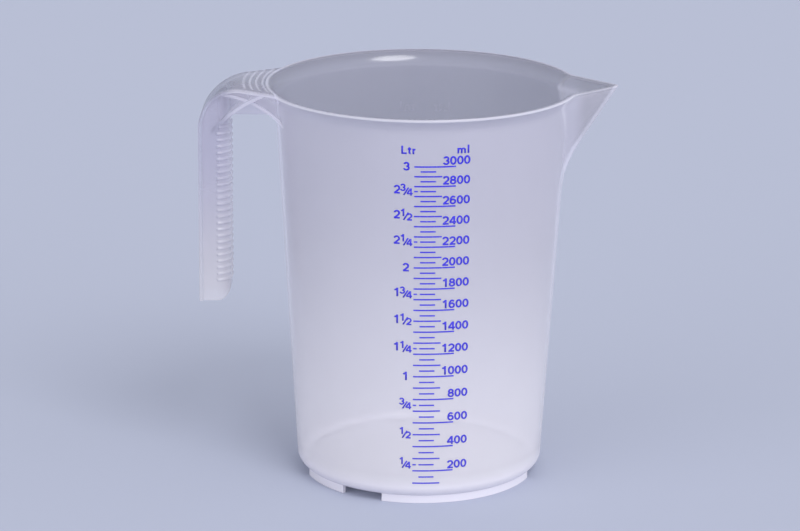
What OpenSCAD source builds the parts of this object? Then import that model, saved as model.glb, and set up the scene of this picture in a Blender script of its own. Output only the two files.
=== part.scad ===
// A three litre measuring jug of one clear, milky plastic with a blue printed scale.
// The jug is drawn form by form, as its mould maker would name them. Each form is a solid
// that seats face to face on its neighbours.
// The table is at height zero and the axis of the vessel is at the origin. The spout points
// along +X, the handle along -X, and the printed scale faces -Y.

/* [Vessel] */
// Height of the rim above the table
jug_h = 219.8; // [190:0.2:250]
// Outer radius of the tapered wall, carried down to the table
wall_r_bottom = 67.3; // [60:0.1:75]
// Outer radius of the tapered wall, carried up to the height of the rim
wall_r_top = 80.5; // [76:0.1:90]
// Thickness of the wall and the floor, measured square to them
wall_t = 1.9; // [1.4:0.1:2.6]

/* [Base] */
// Height of the inside floor above the table
floor_z = 5.9; // [5:0.1:8]
// Inside radius between the floor and the wall
corner_r = 4.8; // [3.5:0.1:7]
// How far the foot ring lies inside the wall's outer radius at the table
foot_inset = 3.3; // [2.6:0.1:4]
// Thickness of the foot ring
foot_t = 2.2; // [1.4:0.1:2.6]
// Angle of the gaps in the foot ring below the spout and below the handle
foot_axis_deg = 38; // [20:1:50]
// Angle of the small drain gaps in the foot ring
foot_drain_deg = 22; // [10:1:26]
// Place of the drain gaps, as an angle from the front or the back towards the handle
foot_drain_turn = 28.5; // [24:0.5:34]

/* [Rim] */
// Height over which the wall flares out to the lip
flare_h = 7.8; // [6:0.1:12]
// How far the inside of the lip stands out from the inside of the wall
flare_out = 5.2; // [3.5:0.1:7]
// Angle of the flare to the upright where it leaves the wall
flare_start = 12; // [4:1:20]
// Width of the flat top of the lip
lip_w = 2.2; // [1.8:0.1:3]
// Height of the lip's outer edge
lip_h = 1.6; // [1.3:0.1:2.4]
// Bevel of the lip's outer edge
lip_bevel = 0.4; // [0.2:0.1:0.6]

/* [Spout] */
// How far the tip of the spout stands out from the lip
spout_out = 21.5; // [14:0.5:28]
// Half of the angle between the two side plates of the spout, seen from above
spout_half_deg = 43; // [38:1:47]
// Angle of the keel of the spout to the upright
keel_deg = 32.5; // [28:0.5:38]
// Radius with which the keel runs into the wall
keel_blend_r = 67; // [40:1:80]
// Thickness of the side plates of the spout
spout_t = 1.9; // [1.4:0.1:2.4]
// Inside radius along the keel of the spout
nose_inner_r = 0.6; // [0.4:0.1:2]

/* [Handle] */
// How far the outer face of the handle stands out from the lip
handle_out = 36; // [30:0.5:44]
// How far the handle hangs down below the rim
handle_drop = 121.8; // [90:0.2:140]
// Thickness of the outer strap
strap_t = 2; // [1.4:0.1:3]
// Width of the outer strap along the grip
strap_w = 24; // [20:0.5:30]
// Outer radius of the bend at the top of the handle
strap_bend_r = 25; // [18:0.5:30]
// Distance from the outer face of the handle to where the strap starts to widen
strap_flare_from = 7; // [4:0.5:10]
// Angle at which each edge of the strap widens towards the rim
strap_flare_deg = 31; // [26:0.5:34]
// Radius with which the edges of the strap run into the rim
strap_fillet_r = 20; // [12:1:24]
// Width of the grip between its flat sides
grip_w = 22.4; // [18:0.2:23]
// Depth of the grip from the outer face of the strap to the finger side
grip_d = 17.1; // [15:0.1:21]
// Thickness of the walls of the hollow grip
grip_wall = 2; // [1.4:0.1:2.6]
// Radius of the two rounded edges on the finger side
finger_r = 7.5; // [5:0.5:8]
// Radius of the lower end of the grip on the finger side
grip_end_r = 7.5; // [3:0.5:10]

/* [Grip ribs] */
// Distance between neighbouring ribs on the finger side
rib_pitch = 3.6; // [3:0.1:6]
// Radius of one half round rib
rib_r = 0.9; // [0.5:0.1:1.2]
// Distance from the lower end of the grip to the lowest rib
rib_first = 12; // [9:0.5:16]
// Distance from the rim down to the highest place for a rib
rib_last_drop = 22; // [20:0.5:30]

/* [Thumb ridges] */
// Number of curved ridges on top of the handle
ridge_count = 4; // [2:1:5]
// Distance between neighbouring ridges
ridge_pitch = 3.45; // [2.6:0.05:4]
// Width of one ridge at its foot
ridge_w = 2; // [1.2:0.1:2.4]
// Height of one ridge
ridge_h = 0.6; // [0.3:0.1:0.9]
// Distance from the lip to the middle of the first ridge
ridge_first = 1.3; // [1.25:0.05:2]
// Bare margin between the ends of a ridge and the edge of the strap
ridge_margin = 2.5; // [1:0.1:4]

/* [Bridge] */
// Thickness of the upright web below the strap
web_t = 2.4; // [1.6:0.1:3.2]
// Distance from the rim down to the lower edge of the web
web_drop = 18.5; // [14:0.1:20]
// Radius in the two lower corners of the web
web_fillet_r = 3; // [1.5:0.1:5]
// Thickness of the two curved ribs that cross on the web
brace_t = 1.6; // [1.2:0.1:2.4]
// Distance from the outer face of the handle to the low end of the rising rib
rise_from = 6.8; // [5:0.1:9]
// Distance from the rim down to the low end of the rising rib
rise_drop = 27.3; // [24:0.1:32]
// Radius of the rising rib
rise_r = 90; // [60:1:140]
// How far the edges of the rising rib lie inside the edges of the strap
rise_inset = 0.6; // [0.4:0.1:2]
// Distance from the outer face of the handle to the crown of the falling rib
fall_from = 14; // [12:0.5:16]
// Distance from the rim down to the crown of the falling rib
fall_drop = 4.6; // [4.4:0.1:6]
// Radius of the falling rib
fall_r = 47.2; // [42:0.1:60]
// Half of the width of the falling rib at its crown
fall_half = 15.2; // [13:0.1:16]
// Angle at which each edge of the falling rib widens towards the wall
fall_flare_deg = 21.5; // [14:0.5:26]

/* [Printed scale] */
// Height kept free between the highest line and the flare of the rim
scale_headroom = 15; // [10:1:40]
// Volume at the lowest line, in millilitres
scale_bottom_ml = 100; // [100:50:400]
// Volume between neighbouring lines, in millilitres
scale_step_ml = 50; // [50:50:100]
// Distance round the wall from its front to the middle of the short lines
scale_shift = 4.9; // [0:0.1:12]
// Thickness of the printed ink layer
ink_t = 0.15; // [0.1:0.05:0.3]
// Height of a printed line
line_h = 0.75; // [0.4:0.05:1]
// Half of the length of a short line
line_half_short = 4.1; // [3:0.1:5]
// Distance from the middle of the short lines to the left end of the longer lines
line_left = 7.4; // [6:0.1:9]
// Distance from the middle of the short lines to the right end of a middle line
line_right_middle = 7.3; // [6:0.1:9]
// Distance from the middle of the short lines to the right end of a long line
line_right_long = 14.6; // [12:0.1:18]
// Length of the dash that marks a quarter of a litre
dash_len = 1.9; // [1:0.1:3]

/* [Raised scale] */
// Height kept free between the highest raised line and the flare of the rim
raised_headroom = 33; // [10:1:60]
// Volume between neighbouring raised lines, in millilitres
raised_step_ml = 100; // [100:100:100]
// Angle from the back to the middle of the raised lines, towards the spout
raised_turn = 0.5; // [0:0.5:6]
// Height of a raised line
raised_h = 0.8; // [0.5:0.1:1.2]
// How far a raised line stands out of the wall
raised_out = 0.35; // [0.2:0.05:0.6]
// Half of the length of a long raised line
raised_half_long = 7; // [5:0.5:9]
// Half of the length of a short raised line
raised_half_short = 4; // [2:0.5:5]

/* [Hidden] */
$fn = 144;

clear_plastic = [0.84, 0.84, 0.9];
blue_ink = [0.2, 0.17, 0.75];

// Overrun of every cutting solid
cut = 1;
// Cubic millimetres in one millilitre
ml = 1000;

// Taper of the wall, and its radii at a height
taper = atan((wall_r_top - wall_r_bottom) / jug_h);
function wall_r(z) = wall_r_bottom + z * tan(taper);
function bore_r(z) = wall_r(z) - wall_t / cos(taper);

// Middle of the rounding between the floor and the wall
corner_z = floor_z + corner_r;
corner_x = bore_r(corner_z) - corner_r / cos(taper);
heel_r = corner_r + wall_t;
foot_r = wall_r_bottom - foot_inset;

// The flare of the rim is one arc, whose middle lies outside the vessel and below the lip
flare_z = jug_h - flare_h;
flare_end = 2 * atan(flare_out / flare_h) - flare_start;
flare_r = flare_h / (sin(flare_end) - sin(flare_start));
flare_x = bore_r(flare_z) + flare_r * cos(flare_start);
flare_mid_z = flare_z - flare_r * sin(flare_start);
lip_in = bore_r(flare_z) + flare_out;
lip_out = lip_in + lip_w;
lip_root = lip_in + lip_w / 4;
// The outside of the flare starts where the outside of the wall ends
flare_back_r = norm([flare_x - wall_r(flare_z), flare_z - flare_mid_z]);

// The keel of the spout is a straight line down from the tip, and an arc that joins it to
// the wall. The foot of the arc lies keel_sink inside the outside of the wall. The middle of
// the arc has the right distances from the line of the wall and from the line of the keel.
keel_sink = 0.8;
spout_tip_x = lip_out + spout_out;
keel_from_wall = wall_r_bottom * cos(taper) + keel_blend_r - keel_sink;
keel_from_line = [spout_tip_x, jug_h] * [cos(keel_deg), -sin(keel_deg)] + keel_blend_r;
keel_mid_x = (keel_from_wall * sin(keel_deg) - keel_from_line * sin(taper)) / sin(keel_deg - taper);
keel_mid_z = (keel_from_wall * cos(keel_deg) - keel_from_line * cos(taper)) / sin(keel_deg - taper);
keel_straight = (jug_h - keel_mid_z - keel_blend_r * sin(keel_deg)) / cos(keel_deg);
// Half angle of the spout's section square to its keel
section_half_deg = atan(tan(spout_half_deg) / cos(keel_deg));

// Handle
handle_x = -lip_out - handle_out;
handle_z = jug_h - handle_drop;
finger_x = handle_x + grip_d;
finger_mid_x = finger_x - finger_r;
finger_mid_y = grip_w / 2 - finger_r;
bend_x = handle_x + strap_bend_r;
bend_z = jug_h - strap_bend_r;
strap_under_z = jug_h - strap_t;
web_z = jug_h - web_drop;
// The straight part of the strap's edge: where it starts, its direction square to the edge,
// and its distance from the axis of the vessel
strap_edge = [handle_x + strap_flare_from, strap_w / 2];
strap_side = [-sin(strap_flare_deg), cos(strap_flare_deg)];
strap_edge_away = strap_edge * strap_side;

// Middle of a circle of radius r that passes through p and then q, to the right of the chord
function arc_middle(p, q, r) =
    let (chord = q - p, half = norm(chord) / 2, drop = sqrt(r * r - half * half))
    (p + q) / 2 + [chord.y, -chord.x] / norm(chord) * drop;

rise_start = [handle_x + rise_from, jug_h - rise_drop];
rise_end = [-lip_out, strap_under_z];
rise_middle = arc_middle(rise_start, rise_end, rise_r);
fall_middle = [handle_x + fall_from, jug_h - fall_drop - fall_r];

// Height at which the vessel holds a volume, from the frustum between the floor and the height
function fill_z(volume_ml) =
    let (slope = tan(taper), r_floor = bore_r(floor_z))
    floor_z + (pow(pow(r_floor, 3) + 3 * slope * volume_ml * ml / PI, 1 / 3) - r_floor) / slope;

// Volume that the vessel holds up to a height, in millilitres
function volume_ml(z) =
    let (r_low = bore_r(floor_z), r_high = bore_r(z))
    PI / 3 * (z - floor_z) * (r_low * r_low + r_low * r_high + r_high * r_high) / ml;

// Highest mark that leaves the room free under the flare, as a whole number of steps
function top_mark(room, step) = step * floor(volume_ml(flare_z - room) / step);

// Solids of revolution about the axis of the vessel, which start and end at the back
module revolved() {
    rotate([0, 0, 90]) rotate_extrude() children();
}

// Flat outline in X and Z, made a solid that is w wide along Y
module along_y(w) {
    rotate([90, 0, 0]) linear_extrude(height = w, center = true) children();
}

module both_sides() {
    children();
    mirror([0, 1, 0]) children();
}

// Outer part of the lip
module lip_section() {
    polygon([
        [lip_root, jug_h - lip_h], [lip_out, jug_h - lip_h],
        [lip_out, jug_h - lip_bevel], [lip_out - lip_bevel, jug_h],
        [lip_root, jug_h]
    ]);
}

// Everything inside the outer surface of the flared rim
module rim_envelope() {
    difference() {
        translate([0, flare_z]) square([lip_out - lip_bevel, flare_h]);
        translate([flare_x, flare_mid_z]) circle(flare_back_r);
    }
    lip_section();
}

// Everything inside the outer surface of the wall and the rim, with no hollow
module vessel_envelope() {
    revolved() {
        polygon([
            [0, corner_z], [wall_r(corner_z), corner_z],
            [wall_r(flare_z), flare_z], [0, flare_z]
        ]);
        rim_envelope();
        translate([0, jug_h - lip_h]) square([lip_out, lip_h + wall_t]);
    }
}

// Section of the spout square to its keel: two sides that open from a nose of radius r. The
// nose points to the axis that the keel bends about.
module wedge_section(r) {
    depth = (spout_tip_x - wall_r_bottom) * cos(keel_deg);
    edge = r / cos(section_half_deg) + depth * tan(section_half_deg);
    touch = r * [-sin(section_half_deg), cos(section_half_deg)];
    translate([keel_blend_r + nose_inner_r + spout_t, 0]) {
        circle(r);
        polygon([[0, 0], touch, [depth, edge], [depth, -edge], [touch.x, -touch.y]]);
    }
}

// Solid wedge with that section along the whole keel, up to a length over beyond its tip
module wedge(r, over) {
    translate([keel_mid_x, 0, keel_mid_z]) rotate([90, 0, 0]) rotate([0, 0, 180 - keel_deg]) {
        rotate_extrude(angle = keel_deg - taper) wedge_section(r);
        rotate([90, 0, 0]) linear_extrude(height = keel_straight + over) wedge_section(r);
    }
}

module spout_hollow() {
    wedge(nose_inner_r, wall_t);
}

module floor_disc() {
    color(clear_plastic) translate([0, 0, floor_z - wall_t]) cylinder(h = wall_t, r = corner_x);
}

module heel() {
    color(clear_plastic) revolved() translate([corner_x, corner_z]) intersection() {
        difference() {
            circle(heel_r);
            circle(corner_r);
        }
        polygon([
            [0, 0], [0, -2 * heel_r], [2 * heel_r, -2 * heel_r],
            [2 * heel_r, -2 * heel_r * tan(taper)]
        ]);
    }
}

// One stretch of the foot ring, from angle a over angle span, with its top cut to the heel
module foot(a, span) {
    color(clear_plastic) rotate([0, 0, a]) rotate_extrude(angle = span) difference() {
        translate([foot_r - foot_t, 0]) square([foot_t, corner_z]);
        translate([corner_x, corner_z]) circle(heel_r);
    }
}

// The front is at 270 degrees. The long stretch runs from the drain gap to the spout, and
// the short one from the handle to the drain gap.
front = 270;
drain_low = front - foot_drain_turn - foot_drain_deg / 2;
drain_high = front - foot_drain_turn + foot_drain_deg / 2;
short_start = 180 + foot_axis_deg / 2;
long_end = 360 - foot_axis_deg / 2;

module foot_long() {
    foot(drain_high, long_end - drain_high);
}

module foot_short() {
    foot(short_start, drain_low - short_start);
}

module wall() {
    color(clear_plastic) difference() {
        revolved() polygon([
            [corner_x + corner_r * cos(taper), corner_z - corner_r * sin(taper)],
            [corner_x + heel_r * cos(taper), corner_z - heel_r * sin(taper)],
            [wall_r(flare_z), flare_z],
            [bore_r(flare_z), flare_z]
        ]);
        spout_hollow();
    }
}

module rim() {
    color(clear_plastic) difference() {
        revolved() {
            intersection() {
                rim_envelope();
                translate([flare_x, flare_mid_z]) circle(flare_r);
            }
            lip_section();
        }
        spout_hollow();
    }
}

module spout() {
    color(clear_plastic) intersection() {
        difference() {
            wedge(nose_inner_r + spout_t, wall_t);
            spout_hollow();
            vessel_envelope();
        }
        cylinder(h = jug_h, r = 2 * spout_tip_x);
    }
}

// Half of the outline of the strap from above, drawn inset from its real edge. Its edge is
// a straight line that widens towards the rim, and an arc that meets the round lip.
module strap_half_outline(inset) {
    half = strap_w / 2 - inset;
    fillet = strap_fillet_r + inset;
    far = lip_out + strap_fillet_r;
    turn = asin((strap_fillet_r + strap_edge_away) / far) - strap_flare_deg;
    middle = far * [-cos(turn), sin(turn)];
    difference() {
        polygon([
            [handle_x - cut, 0], [handle_x - cut, half],
            [strap_edge.x + inset * tan(strap_flare_deg / 2), half],
            middle - fillet * strap_side, middle, middle * (lip_out - cut) / far, [0, 0]
        ]);
        translate(middle) circle(fillet);
    }
}

module strap_prism(inset) {
    both_sides() linear_extrude(height = jug_h + cut) strap_half_outline(inset);
}

// Side view of the strap: a flat top, a round bend and an upright outer face
module strap_profile() {
    translate([bend_x, strap_under_z]) square([-bend_x, strap_t]);
    intersection() {
        translate([bend_x, bend_z]) difference() {
            circle(strap_bend_r);
            circle(strap_bend_r - strap_t);
        }
        translate([handle_x, bend_z]) square(strap_bend_r);
    }
    translate([handle_x, handle_z]) square([strap_t, bend_z - handle_z]);
}

// Side view of the space below the strap
module below_strap() {
    translate([handle_x + strap_t, handle_z]) square([-handle_x, bend_z - handle_z]);
    translate([bend_x, bend_z]) square([-bend_x, strap_bend_r - strap_t]);
    translate([bend_x, bend_z]) circle(strap_bend_r - strap_t);
}

module handle_strap() {
    color(clear_plastic) difference() {
        intersection() {
            along_y(2 * lip_out) strap_profile();
            strap_prism(0);
        }
        vessel_envelope();
    }
}

// Plan of the grip, inset from its outer face, with the two rounded edges on the finger side
module grip_plan(inset) {
    translate([handle_x + strap_t, inset - grip_w / 2])
        square([finger_mid_x - handle_x - strap_t, grip_w - 2 * inset]);
    translate([finger_mid_x, -finger_mid_y])
        square([finger_r - inset, 2 * finger_mid_y]);
    for (side = [-1, 1])
        translate([finger_mid_x, side * finger_mid_y]) circle(finger_r - inset);
}

module grip_envelope() {
    intersection() {
        translate([0, 0, handle_z]) linear_extrude(height = jug_h - handle_z) grip_plan(0);
        along_y(2 * strap_w) below_strap();
    }
}

module handle_grip() {
    color(clear_plastic) difference() {
        grip_envelope();
        translate([0, 0, handle_z - cut])
            linear_extrude(height = handle_drop + 2 * cut) grip_plan(grip_wall);
        along_y(2 * strap_w) difference() {
            translate([finger_x - grip_end_r, handle_z - cut])
                square([grip_end_r + cut, grip_end_r + cut]);
            translate([finger_x - grip_end_r, handle_z + grip_end_r]) circle(grip_end_r);
        }
    }
}

module half_round() {
    intersection() {
        circle(rib_r, $fn = 24);
        translate([0, -rib_r]) square([rib_r, 2 * rib_r]);
    }
}

// One rib that wraps round the finger side of the grip
module grip_rib() {
    both_sides() translate([finger_mid_x, finger_mid_y, 0])
        rotate_extrude(angle = 90) translate([finger_r, 0]) half_round();
    translate([finger_x, 0, 0]) along_y(2 * finger_mid_y) half_round();
}

rib_low_z = handle_z + rib_first;
rib_count = floor((jug_h - rib_last_drop - rib_low_z) / rib_pitch) + 1;

module grip_ribs() {
    color(clear_plastic) for (i = [0 : rib_count - 1])
        translate([0, 0, rib_low_z + i * rib_pitch]) grip_rib();
}

// Cross section of a ridge: the part of a circle that stands above the strap
ridge_circle_r = (pow(ridge_w / 2, 2) + pow(ridge_h, 2)) / (2 * ridge_h);

module ridge_section() {
    intersection() {
        translate([0, ridge_h - ridge_circle_r]) circle(ridge_circle_r, $fn = 48);
        translate([-ridge_w, 0]) square([2 * ridge_w, ridge_w]);
    }
}

// Each ridge is an arc round the axis of the vessel, which ends a margin before the edges
module thumb_ridges() {
    color(clear_plastic) for (i = [0 : ridge_count - 1]) {
        r = lip_out + ridge_first + i * ridge_pitch;
        reach = asin((strap_edge_away - ridge_margin) / r) - strap_flare_deg;
        translate([0, 0, jug_h]) rotate([0, 0, 180 - reach])
            rotate_extrude(angle = 2 * reach) translate([r, 0]) ridge_section();
    }
}

// Curved plate in side view, brace_t thick, on the circle of radius r about a middle
module brace_arc(middle, r) {
    translate(middle) difference() {
        circle(r + brace_t / 2);
        circle(r - brace_t / 2);
    }
}

// The rising rib runs from the side of the grip up to the strap at the lip
module rising_rib_solid() {
    intersection() {
        along_y(2 * lip_out) intersection() {
            brace_arc(rise_middle, rise_r);
            translate(rise_start) square([rise_end.x - rise_start.x, rise_drop]);
            below_strap();
        }
        strap_prism(rise_inset);
    }
}

module rising_rib() {
    color(clear_plastic) difference() {
        rising_rib_solid();
        grip_envelope();
        vessel_envelope();
    }
}

module fall_outline() {
    both_sides() polygon([
        [fall_middle.x, 0], [fall_middle.x, fall_half],
        [0, fall_half - fall_middle.x * tan(fall_flare_deg)], [0, 0]
    ]);
}

// The falling rib runs from the bend of the strap down to the wall
module falling_rib_solid() {
    intersection() {
        along_y(2 * lip_out) intersection() {
            brace_arc(fall_middle, fall_r);
            translate([fall_middle.x, bend_z]) square([-fall_middle.x, strap_bend_r]);
            below_strap();
        }
        linear_extrude(height = jug_h) fall_outline();
    }
}

module falling_rib() {
    color(clear_plastic) difference() {
        falling_rib_solid();
        rising_rib_solid();
        grip_envelope();
        vessel_envelope();
    }
}

// Rounded lower corner of the web, at x, opening towards dir along X
module web_corner(x, dir) {
    translate([x, web_z - web_fillet_r]) mirror([dir < 0 ? 1 : 0, 0]) difference() {
        translate([-cut, 0]) square([web_fillet_r + cut, web_fillet_r]);
        translate([web_fillet_r, 0]) circle(web_fillet_r);
    }
}

module bridge_web() {
    color(clear_plastic) difference() {
        along_y(web_t) intersection() {
            union() {
                translate([finger_x - cut, web_z]) square([-finger_x, jug_h - web_z]);
                web_corner(finger_x, 1);
                web_corner(-wall_r(web_z), -1);
            }
            below_strap();
        }
        rising_rib_solid();
        falling_rib_solid();
        grip_envelope();
        vessel_envelope();
    }
}

// Strip of height h and thickness t on the wall at height z. It lies between the arc
// lengths left and right, which are measured from the angle turn.
module wall_strip(turn, z, h, t, left, right) {
    low = z - h / 2;
    high = z + h / 2;
    deg = 180 / PI / wall_r(z);
    rotate([0, 0, turn + left * deg]) rotate_extrude(angle = (right - left) * deg) polygon([
        [wall_r(low), low], [wall_r(low) + t, low],
        [wall_r(high) + t, high], [wall_r(high), high]
    ]);
}

// Steps of the printed scale: a long line at each even hundred, a middle one at each odd
// hundred, a short one between them, and a dash beside the short line of a quarter litre
long_every = 200;
middle_every = 100;
dash_every = 250;

module printed_scale() {
    top_ml = top_mark(scale_headroom, long_every);
    left = scale_shift - line_left;
    left_short = scale_shift - line_half_short;
    right_short = scale_shift + line_half_short;
    right_middle = scale_shift + line_right_middle;
    right_long = scale_shift + line_right_long;
    color(blue_ink) for (v = [scale_bottom_ml : scale_step_ml : top_ml]) {
        is_long = v % long_every == 0;
        is_middle = !is_long && v % middle_every == 0;
        z = fill_z(v);
        if (is_long) wall_strip(front, z, line_h, ink_t, left, right_long);
        if (is_middle) wall_strip(front, z, line_h, ink_t, left, right_middle);
        if (!is_long && !is_middle) {
            wall_strip(front, z, line_h, ink_t, left_short, right_short);
            if (v % dash_every == 0) wall_strip(front, z, line_h, ink_t, left, left + dash_len);
        }
    }
}

raised_long_every = 500;

module raised_scale() {
    turn = 90 - raised_turn;
    top_ml = top_mark(raised_headroom, raised_step_ml);
    color(clear_plastic) for (v = [raised_step_ml : raised_step_ml : top_ml]) {
        half = v % raised_long_every == 0 ? raised_half_long : raised_half_short;
        wall_strip(turn, fill_z(v), raised_h, raised_out, -half, half);
    }
}

floor_disc();  // floor
heel();
foot_long();  // foot_front_long
foot_short();  // foot_front_short
mirror([0, 1, 0]) foot_long();  // foot_back_long
mirror([0, 1, 0]) foot_short();  // foot_back_short
wall();
rim();
spout();
handle_strap();
handle_grip();
grip_ribs();
bridge_web();
rising_rib();
falling_rib();
thumb_ridges();
printed_scale();
raised_scale();
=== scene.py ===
import math

import bpy
import numpy as np
from mathutils import Matrix, Vector


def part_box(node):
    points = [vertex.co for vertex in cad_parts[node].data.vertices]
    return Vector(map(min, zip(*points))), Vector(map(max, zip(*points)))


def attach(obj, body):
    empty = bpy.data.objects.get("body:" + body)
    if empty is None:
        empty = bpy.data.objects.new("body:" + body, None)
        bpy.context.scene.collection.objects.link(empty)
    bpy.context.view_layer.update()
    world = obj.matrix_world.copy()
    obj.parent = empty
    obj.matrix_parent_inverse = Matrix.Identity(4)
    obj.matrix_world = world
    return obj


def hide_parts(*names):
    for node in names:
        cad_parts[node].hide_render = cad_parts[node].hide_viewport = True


bl_info = {
    "name": "Measuring jug",
    "version": (1, 0, 0),
    "blender": (4, 5, 0),
    "location": "View3D > Sidebar > Jug",
    "description": "Dresses the packed measuring jug in milky plastic and blue ink",
    "category": "Add Mesh",
}

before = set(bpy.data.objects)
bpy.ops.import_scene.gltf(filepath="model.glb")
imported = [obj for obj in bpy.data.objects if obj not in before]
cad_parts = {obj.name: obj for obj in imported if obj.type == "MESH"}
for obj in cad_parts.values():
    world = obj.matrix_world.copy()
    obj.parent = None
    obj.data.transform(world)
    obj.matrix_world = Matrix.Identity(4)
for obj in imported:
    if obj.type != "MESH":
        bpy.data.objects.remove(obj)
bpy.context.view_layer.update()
MM = 0.001

# Sizes of the moulding in metres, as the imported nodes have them
RIM_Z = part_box("rim")[1].z
FLARE_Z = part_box("rim")[0].z
LIP_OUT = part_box("rim")[1].y
TIP_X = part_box("spout")[1].x
HANDLE_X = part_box("handle_strap")[0].x
HANDLE_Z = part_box("handle_strap")[0].z
FLOOR_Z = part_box("floor")[1].z
WALL_T = 1.9 * MM
FOOT_WALL_R = 67.3 * MM
TAPER = math.atan((80.5 * MM - FOOT_WALL_R) / RIM_Z)
CORNER_R = 4.8 * MM
HEEL_STEP = 4 * MM
FLARE_OUT = 5.2 * MM
FLARE_START = math.radians(12)
LIP_W = 2.2 * MM
LIP_H = 1.6 * MM
LIP_ROUND = 0.5 * MM
LIP_SOFT = 0.25 * MM
FLARE_GAP = 0.02

# Spout: its V lies within SPOUT_SPAN degrees of the axis, with closer steps at the nose
KEEL_TILT = math.radians(32.5)
KEEL_R = 67 * MM
KEEL_SINK = 0.8 * MM
SPOUT_HALF = math.radians(43)
SPOUT_T = 1.9 * MM
NOSE_R = 0.6 * MM
CREASE = 1.6 * MM
SPOUT_SPAN = 26
NOSE_SPAN = 6
TIP_SPAN = 1.5

# Handle
STRAP_T = 2 * MM
STRAP_HALF = 12 * MM
BEND_R = 25 * MM
FLARE_FROM = 7 * MM
STRAP_FLARE = math.radians(31)
FILLET_R = 20 * MM
EDGE_R = 0.5 * MM
GRIP_HALF = 11.2 * MM
GRIP_D = 17.1 * MM
GRIP_WALL = 2 * MM
FINGER_R = 7.5 * MM
RIB_PITCH = 3.6 * MM
RIB_R = 0.9 * MM
RIB_FIRST = 12 * MM
RIB_LAST_DROP = 22 * MM
RIB_END = 0.6 * MM
RIDGES = 4
RIDGE_FIRST = 1.3 * MM
RIDGE_PITCH = 3.45 * MM
RIDGE_W = 2 * MM
RIDGE_H = 0.6 * MM
RIDGE_MARGIN = 2.5 * MM
RIDGE_END = 0.5 * MM
WEB_T = 2.4 * MM
WEB_DROP = 18.5 * MM
WEB_FILLET = 3 * MM
WEB_ROOT = 1 * MM

# The two curved ribs: places from the handle's outer face and drops from the rim
BRACE_T = 1.6 * MM
RISING_X = 6.8 * MM
RISING_DROP = 27.3 * MM
RISING_R = 90 * MM
RISING_INSET = 0.6 * MM
CROWN_X = 14 * MM
CROWN_DROP = 4.6 * MM
FALLING_R = 47.2 * MM
FALLING_DROP = 18 * MM
FALLING_HALF = 15.2 * MM
FALLING_END_HALF = 28.4 * MM
FALLING_FLARE = math.radians(21.5)

# Foot ring: its stretches start and end at these degrees from the spout
FOOT_INSET = 3.3 * MM
FOOT_T = 2.2 * MM
FOOT_CHAMFER = 0.25 * MM
FOOT_STRETCHES = ((-107.5, -19), (-161, -129.5), (19, 107.5), (129.5, 161))

# Scale: distances round the wall, from the front or from the middle of the short lines
SCALE_SHIFT = 4.9 * MM
LINE_LEFT = 7.4 * MM
RAISED_H = 0.8 * MM
RAISED_OUT = 0.35 * MM
RAISED_TURN = math.radians(89.5)
RAISED_LONG = 7 * MM
RAISED_SHORT = 4 * MM
RAISED_TOP_ML = 2700
TOP_ML = 3000
FIGURE_H = 4.8 * MM
SMALL_H = 4.1 * MM
FIGURE_STEP = 0.73
FIGURE_W = 0.667
STROKE = 0.19
FIGURES_RIGHT = 22.4 * MM
FIGURE_LIFT = 0.95 * MM
FIGURE_WIDE = 1.08
INK_LOW = 0.01 * MM
INK_HIGH = 0.1 * MM

# The words over the printed scale and over the raised one, each with its left end
WORDS_Z = 200 * MM
WORDS_H = 4.5 * MM
WORDS = (("Ltr", -6.9 * MM), ("ml", 22.7 * MM))
RAISED_WORDS_Z = 185.2 * MM
RAISED_WORD_H = 5.6 * MM
RAISED_WORD_OUT = 0.4 * MM
RAISED_WORDS = (("Ltr", -15 * MM), ("ml", 5.4 * MM))

# Places of the litre figures: to the right of the lines' left end, and above the line
WHOLE_AT = (-2.5 * MM, -2.1 * MM)
WHOLE_BEFORE = (-10.9 * MM, -1.4 * MM)
NUMERATOR_AT = (-7.5 * MM, 0.1 * MM)
SLASH_AT = (-5.5 * MM, -2.0 * MM)
DENOMINATOR_AT = (-3.9 * MM, -2.3 * MM)

# Camera, fitted to the photograph: focal length and width in pixels, place in
# millimetres before its yaw, and its turns
FOCAL_PX = 3415.29
PHOTO_PX = 800
SENSOR = 36.0
CAMERA_PLACE = Vector((-11.34, -1812.0, 644.26)) * MM
CAMERA_YAW = math.radians(1.2)
CAMERA_PITCH = math.asin(0.27981)
CAMERA_ROLL = 0.0066

# Lamps: name, turn from the front, climb and spread in degrees, strength. Only the key
# lamp shows in the gloss
SUNS = (("key", 29, 47, 28, 1.1), ("right", 44, 5, 60, 1.6), ("left", -50, 5, 60, 1.55),
        ("side", 80, 8, 50, 0.6))
SKY = (0.93, 0.95, 1.0, 1)
SKY_STRENGTH = 0.68
FLOOR_TONE = (0.92, 1)
FLOOR_HALF = 6.0

# Painted shade of a point, which the plastic's colour and haze follow: 0 outside, 1 on the
# inner skin of the vessel's hollow, which is painted dark, more in its flare and on the
# strap's upper face, less as painted light on its inner heel and in its spout, and below 0
# as painted light on the lip, under it, on the ribs of the grip, along the spout's crease
# and on the raised scale; the lip, the ribs and the raised scale are also thicker plastic
UNDER_LIP_LIGHT = -0.5
LIP_THICK_AND_LIT = -0.9
LIP_TOP_SHADE = 0.3
LIP_EDGE_SHADE = 0.6
FLARE_SHADE = 2
FLARE_CREASE_LIGHT = 0.8
HEEL_LIGHT_LINE = 1.5
SPOUT_SHADE_SHARE = 0.75
CREASE_LIGHT_INSIDE = 0.2
CREASE_LIGHT_OUTSIDE = 0.6
CREASE_LIGHT_FADE = 20 * MM
STRAP_EDGE_SHADE = 0.4
STRAP_EDGE_W = 1.5 * MM
RIDGE_CREST_SHADE = 0.38
GRIP_EDGE_LIGHT = -0.12
GRIP_RIB_GLINT = -0.38
FALLING_SHADE = 0.12
RAISED_THICK_AND_LIT = -0.4
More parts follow.
